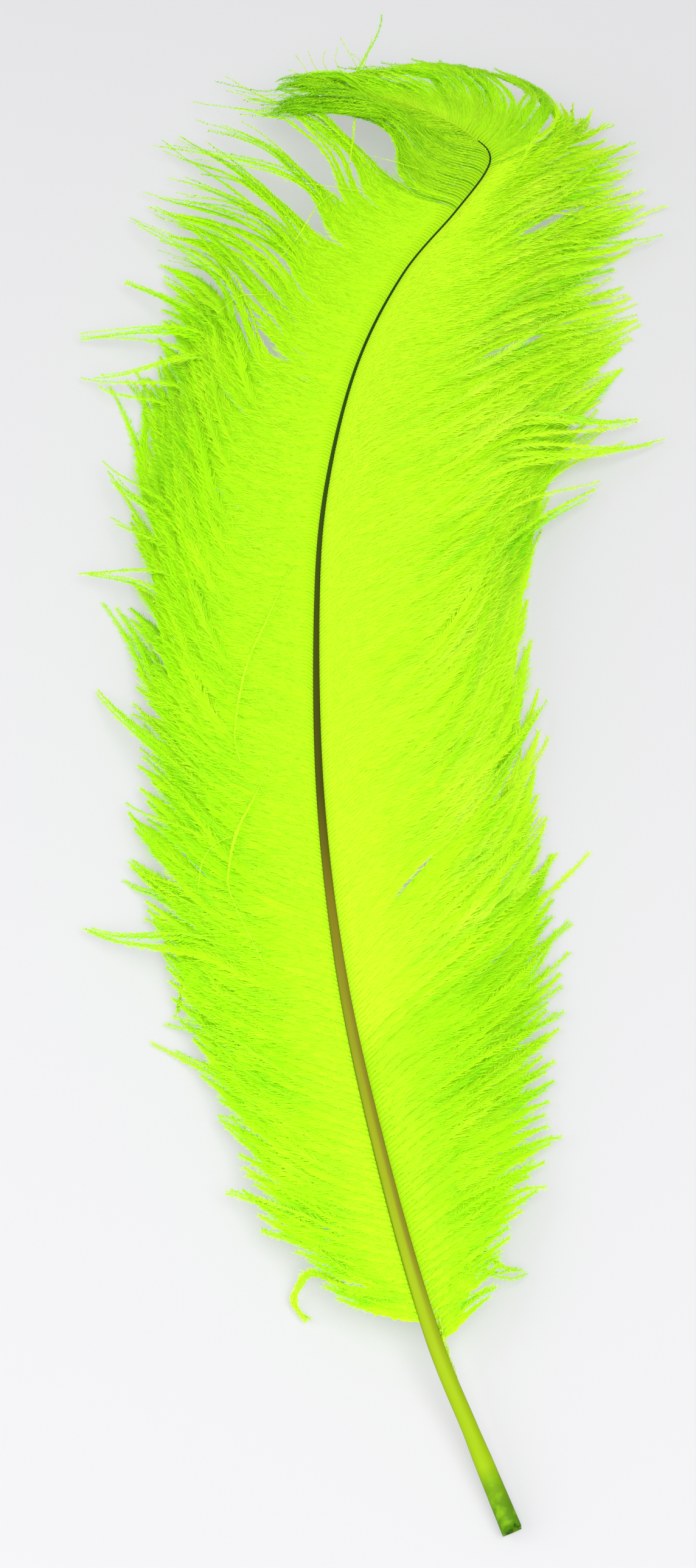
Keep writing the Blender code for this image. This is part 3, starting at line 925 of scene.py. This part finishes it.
# colours of the shaft, from inside the cut end of the quill to the tip, and of its darker side; the
# first stops, inside the hollow of the cut end, darken with depth as painted shade
shaftLook = {
    "along": (
        (0.0, (0.006, 0.030, 0.0, 1)),
        (0.006, (0.012, 0.055, 0.0, 1)),
        (0.010, (0.045, 0.16, 0.0, 1)),
        (0.014, (0.075, 0.20, 0.0, 1)),
        (0.024, (0.085, 0.20, 0.0, 1)),
        (0.036, (0.15, 0.30, 0.0, 1)),
        (0.042, (0.26, 0.41, 0.0, 1)),
        (0.12, (0.27, 0.39, 0.002, 1)),
        (0.20, (0.24, 0.29, 0.003, 1)),
        (0.27, (0.20, 0.21, 0.005, 1)),
        (0.33, (0.155, 0.135, 0.004, 1)),
        (0.40, (0.052, 0.052, 0.001, 1)),
        (0.53, (0.034, 0.050, 0.001, 1)),
        (0.66, (0.011, 0.050, 0.001, 1)),
        (0.73, (0.005, 0.040, 0.001, 1)),
        (1.0, (0.010, 0.055, 0.001, 1)),
    ),
    "bandedStops": ((0.09, black), (0.15, white), (0.30, white), (0.36, black)),
    "bark": (0.20, 0.175, 0.012, 1.0),
    "barkAround": ((0.0, white), (0.19, white), (0.26, black), (0.86, black), (0.95, white)),
    "barkShare": 0.85,
    "edge": (0.06, 0.17, 0.0, 1.0),
    "edgeAround": ((0.41, black), (0.46, white), (0.8, white)),
    "edgeShare": 0.8,
    "patch": (0.19, 0.40, 0.0, 1.0),
    "patchSize": (4.0, 150.0, 1.0),
    "patchStops": ((0.48, black), (0.64, white)),
    "patchEnds": ((0.034, white), (0.042, black)),
    "patchShare": 0.7,
    "grain": (0.02, 0.05, 0.0, 1.0),
    "grainSize": (9.0, 40.0, 1.0),
    "grainShare": 0.3,
    "roughness": 0.4,
    "roughnessRange": 0.2,
    "specular": 0.1,
}


def dyeAndShadeShaft():
    look = Finish("dyed and shaded shaft")
    place = look.add("ShaderNodeUVMap", {"uv_map": "OFBake"})
    around = look.add("ShaderNodeSeparateXYZ", {}, {0: place})
    along = look.add("ShaderNodeSeparateXYZ", {}, {0: place}, output=1)
    # the first colours, inside the hollow of the cut end, darken with depth as painted shade
    colour = look.ramp(along, *shaftLook["along"])
    # brown along the upper right and a thin green line along the left
    banded = look.ramp(along, *shaftLook["bandedStops"])
    for name in ("bark", "edge"):
        cover = look.ramp(around, *shaftLook[name + "Around"]) * banded * shaftLook[name + "Share"]
        colour = look.mix(cover, colour, shaftLook[name])
    # lighter patches on the green end of the quill
    blotches = look.noise(look.stretch(place, shaftLook["patchSize"]))
    end = look.ramp(along, *shaftLook["patchEnds"])
    pale = look.ramp(blotches, *shaftLook["patchStops"])
    colour = look.mix(pale * end * shaftLook["patchShare"], colour, shaftLook["patch"])
    grain = look.noise(look.stretch(place, shaftLook["grainSize"]), 3.0)
    dark = look.mix(0.5, colour, shaftLook["grain"])
    colour = look.mix(grain * shaftLook["grainShare"], colour, dark)
    surface = look.add(
        "ShaderNodeBsdfPrincipled",
        {},
        {
            "Base Color": colour,
            "Roughness": grain * shaftLook["roughnessRange"] + shaftLook["roughness"],
            "Specular IOR Level": shaftLook["specular"],
        },
    )
    return look.finish(surface)


# The hollow is rows of depth, share of the width and place on the colours, whose darker stops paint
# shade deeper in the hollow. The ragged cut is waves of some size, number and start around it.
shaftValues = {
    "sides": 16,
    "rings": 220,
    "flatness": 0.88,
    "hollow": ((0.0, 0.74, 0.009), (2.0, 0.66, 0.005), (3.0, 0.02, 0.0)),
    "quillStart": 0.012,
    "ragged": ((1.5, 1, 0.44), (0.45, 5, 1.7), (0.35, 7, 0.2)),
    "raggedReach": 4.0,
}


def makeShaft():
    # the last rings, run backwards inside the first one, are the hollow in the cut end
    sides, rings = shaftValues["sides"], shaftValues["rings"]
    stations = np.linspace(0, shaftStations[-1], rings)
    widths = shaftWidth(stations)
    tops = np.linspace(shaftValues["quillStart"], mapTop, rings)
    for depth, share, top in shaftValues["hollow"]:
        stations = np.insert(stations, 0, depth)
        widths = np.insert(widths, 0, shaftWidth(0.0) * share)
        tops = np.insert(tops, 0, top)
    rings = len(stations)
    centre = onShaft(stations)
    ahead = onShaft(stations + 1.0) - onShaft(stations - 1.0)
    ahead /= np.linalg.norm(ahead, axis=1, keepdims=True)
    across = np.cross(ahead, (0, 0, 1.0))
    across /= np.linalg.norm(across, axis=1, keepdims=True)
    up = np.cross(across, ahead)
    angle = 2 * math.pi * np.arange(sides) / sides
    ring = centre[:, None] + widths[:, None, None] / 2 * (
        across[:, None] * np.cos(angle)[:, None]
        + up[:, None] * np.sin(angle)[:, None] * shaftValues["flatness"]
    )
    # the cut is uneven
    waves = shaftValues["ragged"]
    depth = sum(size * np.sin(turns * angle + start) for size, turns, start in waves)
    near = np.clip(1 - stations / shaftValues["raggedReach"], 0, 1)[:, None, None]
    ring = ring + ahead[:, None] * np.maximum(depth, 0)[None, :, None] * near
    index = np.arange(rings * sides).reshape(rings, sides)
    a, b = index[:-1], index[1:]
    quads = np.stack([a, np.roll(a, -1, 1), np.roll(b, -1, 1), b], -1).reshape(-1, 4)
    maps = np.stack([np.tile(np.arange(sides) / sides, rings), np.repeat(tops, sides)], 1)
    makePiece("shaft", [(ring.reshape(-1, 3), quads, maps)], dyeAndShadeShaft(), 1)


# near the edge of a piece its barbs mingle with those of the next, less so at the later stations
mingleValues = {"stations": (480, 520), "widths": (16.0, 5.0)}


def makeVane(side, dyesAndLight):
    # one piece from each station in pieceEdges to the next
    values = vaneValues[side]
    stations, lines, loose, slim, comb = growVane(side)
    chance = np.random.default_rng(values["fibreSeed"])
    blend = np.interp(stations, mingleValues["stations"], mingleValues["widths"])
    mingled = stations + chance.uniform(-1, 1, len(stations)) * blend
    edges = values["pieceEdges"]
    for number, (low, high, dyeAndLight) in enumerate(zip(edges, edges[1:], values["pieceDyesAndLight"])):
        own = (mingled >= low) & (mingled < high)
        some = lines[own]
        parts = [
            growRibs(some),
            growFilm(side, chance, some, loose[own], slim[own], comb[own]),
            growBlades(chance, some, loose[own], slim[own]),
        ]
        makePiece(f"{side}Barbs{number + 1}", parts, dyesAndLight[dyeAndLight], barbsPerPiece)


# single barbs that lie over the others: how full their barbules are, and their points
looseBarbs = (
    (0.22, ((-29, 12, 38), (-36, -7, 37), (-43, -25, 35), (-46, -40, 34), (-47, -55, 33),
            (-45, -64, 33))),
    (0.24, ((-35, -67, 35), (-42, -81, 32), (-46, -90, 30), (-48, -101, 28), (-47, -111, 27),
            (-36, -136, 27))),
    (0.24, ((-45, -90, 31), (-53, -92, 27), (-57, -97, 24), (-58, -105, 21))),
    (0.2, ((-10, 201, 32), (-8, 225, 28), (-6, 255, 24), (0, 294, 17))),
    (0.2, ((-3, 190, 34), (-22, 199, 29), (-34, 205, 25))),
    (0.2, ((17, 201, 35), (8, 207, 33), (-1, 212, 31))),
    (0.2, ((-15, 192, 32), (-22, 184, 32), (-30, 168, 31), (-41, 152, 30))),
    (0.22, ((-40, 141, 31), (-50, 144, 27), (-58, 138, 25))),
    (0.22, ((-24, 266, 19), (-28, 274, 20), (-31, 281, 19))),
    (0.22, ((-20, 267, 19), (-24, 276, 19), (-26, 283, 19))),
    (0.22, ((-17, 268, 19), (-20, 278, 19), (-19, 285, 18))),
    (0.22, ((-12, 269, 19), (-15, 279, 18), (-14, 287, 18))),
    (0.2, ((-5, 270, 19), (-9, 282, 18), (-13, 293, 17))),
    (0.22, ((-1, 272, 18), (-6, 280, 18), (-9, 283, 18))),
    (0.22, ((-26, 265, 19), (-31, 270, 20), (-34, 272, 19))),
)
# locks that curl at the vane's edge: how many barbs each has, how full they are, and their points
curledLocks = (
    (5, 0.62, ((6, -245, 12), (-3, -241, 9), (-10, -234, 7), (-16, -230, 6), (-21, -229, 6),
               (-24, -231, 5), (-26, -235, 3), (-25, -239, 2), (-22, -242, 2))),
    (3, 0.5, ((-30, -128, 14), (-44, -125, 9), (-51, -125, 7), (-58, -127, 5), (-63, -130, 4),
              (-64, -135, 2), (-65, -140, 2))),
    (4, 0.6, ((10, -222, 14), (-1, -221, 11), (-10, -220, 9), (-18, -217, 8), (-23, -212, 7),
              (-27, -210, 5), (-31, -211, 3))),
    (3, 0.5, ((52, 208, 28), (60, 215, 24), (69, 228, 20), (80, 238, 16), (96, 251, 10))),
)
looseValues = {"spread": (0.9, 0.9, 0.5), "fullness": (0.7, 1.1), "seed": 31}
# small down beside the bare quill
downValues = {
    "first": 45.0,
    "last": 60.0,
    "spacing": 0.45,
    "length": (2.0, 7.0),
    "lengths": (0.7, 1.1),
    "turn": 22.0,
    "turns": (-6, 6),
    "rootPlace": 0.42,
    "rise": 0.2,
    "slim": 0.35,
}


def evenLine(points):
    curve = smoothLine(points)
    place = np.linspace(0, 1, len(curve))
    return np.stack([np.interp(rowParts, place, curve[:, i]) for i in range(3)], -1)


def growDown(chance):
    first, last = downValues["first"], downValues["last"]
    stations = np.arange(first, last, downValues["spacing"])
    root = onShaft(stations)
    ahead = onShaft(stations + 2) - root
    turn = downValues["turn"] + chance.uniform(*downValues["turns"], len(stations))
    heading = np.arctan2(ahead[:, 0], ahead[:, 1]) + np.radians(turn)
    beside = np.stack([np.cos(heading), -np.sin(heading)], 1)
    root[:, :2] += downValues["rootPlace"] * shaftWidth(stations)[:, None] * beside
    size = np.interp((stations - first) / (last - first), (0, 1), downValues["length"])
    size = size * chance.uniform(*downValues["lengths"], len(stations))
    out = [np.sin(heading) * size, np.cos(heading) * size, downValues["rise"] * size]
    return root[:, None] + np.stack(out, 1)[:, None] * rowParts[None, :, None]


def makeLoose(material):
    chance = np.random.default_rng(looseValues["seed"])
    lines = [evenLine(points) for _, points in looseBarbs]
    slim = [fullness for fullness, _ in looseBarbs]
    for count, fullness, points in curledLocks:
        for _ in range(count):
            own = np.array(points, float)
            own[1:] += chance.uniform(-1, 1, (len(own) - 1, 3)) * looseValues["spread"]
            lines.append(evenLine(own))
            slim.append(fullness * chance.uniform(*looseValues["fullness"]))
    down = growDown(chance)
    lines = np.concatenate([np.stack(lines), down])
    slim = np.concatenate([slim, np.full(len(down), downValues["slim"])])
    loose = np.ones(len(lines), bool)
    parts = [
        growRibs(lines),
        growFilm("left", chance, lines, loose, slim, np.ones(len(lines)), pointed=True),
        growBlades(chance, lines, loose, slim, pointed=True),
    ]
    makePiece("looseBarbs", parts, material, barbsPerPiece)


cameraValues = {
    "target": (-10.0, -52.0, 0.0),
    "distance": 868.0,
    "elevation": 58.0,
    "fieldOfView": 34.0,
    "clipStart": 0.01,
}


def placeCamera():
    tilt = math.radians(cameraValues["elevation"])
    back = np.array([0.0, -math.cos(tilt), math.sin(tilt)]) * cameraValues["distance"]
    data = bpy.data.cameras.new("camera")
    data.sensor_fit = "VERTICAL"
    data.angle = math.radians(cameraValues["fieldOfView"])
    data.clip_start = cameraValues["clipStart"]
    camera = bpy.data.objects.new("camera", data)
    camera.location = (np.array(cameraValues["target"]) + back + centreShift) * millimetre
    camera.rotation_euler = (math.radians(90) - tilt, 0.0, 0.0)
    bpy.context.scene.collection.objects.link(camera)
    bpy.context.scene.camera = camera


# the floor glows a little as painted light, so that its shadows stay pale
floorValues = {
    "size": 3.0,
    "colour": (0.30, 0.30, 0.306, 1.0),
    "roughness": 0.9,
    "specular": 0.1,
    "glowColour": (0.99, 0.99, 1.0, 1.0),
    "glow": 0.37,
}


def layFloor():
    half = floorValues["size"] / 2
    mesh = bpy.data.meshes.new("floor")
    corners = [(-half, -half, 0), (half, -half, 0), (half, half, 0), (-half, half, 0)]
    mesh.from_pydata(corners, [], [(0, 1, 2, 3)])
    look = Finish("pale floor")
    surface = look.add(
        "ShaderNodeBsdfPrincipled",
        {},
        {
            "Base Color": floorValues["colour"],
            "Roughness": floorValues["roughness"],
            "Specular IOR Level": floorValues["specular"],
            "Emission Color": floorValues["glowColour"],
            "Emission Strength": floorValues["glow"],
        },
    )
    mesh.materials.append(look.finish(surface))
    floor = bpy.data.objects.new("floor", mesh)
    bpy.context.scene.collection.objects.link(floor)


# name, place and target in metres, size, power
lightValues = (
    ("leftSoftbox", (-1.0, -0.25, 0.6), (0.0, 0.0, 0.0), 1.0, 9.5),
    ("frontSoftbox", (0.25, -0.65, 1.15), (0.0, -0.2, 0.0), 1.3, 21.0),
)
skyStrength = 0.57


def lightStudio():
    for name, place, target, size, power in lightValues:
        data = bpy.data.lights.new(name, "AREA")
        data.shape = "SQUARE"
        data.size = size
        data.energy = power
        light = bpy.data.objects.new(name, data)
        light.location = place
        aim = np.array(target) - np.array(place)
        tilt = math.atan2(math.hypot(aim[0], aim[1]), -aim[2])
        light.rotation_euler = (tilt, 0.0, math.atan2(aim[1], aim[0]) - math.pi / 2)
        bpy.context.scene.collection.objects.link(light)
    world = bpy.data.worlds.new("studio")
    world.use_nodes = True
    sky = world.node_tree.nodes["Background"]
    sky.inputs["Color"].default_value = white
    sky.inputs["Strength"].default_value = skyStrength
    bpy.context.scene.world = world
    bpy.context.scene.view_settings.view_transform = "Standard"


placeCamera()
layFloor()
lightStudio()
print("stage ready")
makeShaft()
# each vane and region gets its own lit or shaded copy of one dye, as painted light
dyesAndLight = {name: dyeAndLightBarbs(name) for name in dyeAndLightValues}
makeVane("left", dyesAndLight)
makeVane("right", dyesAndLight)
# the loose barbs take the right vane's lighter copy of the dye, painted light
makeLoose(dyesAndLight["right"])
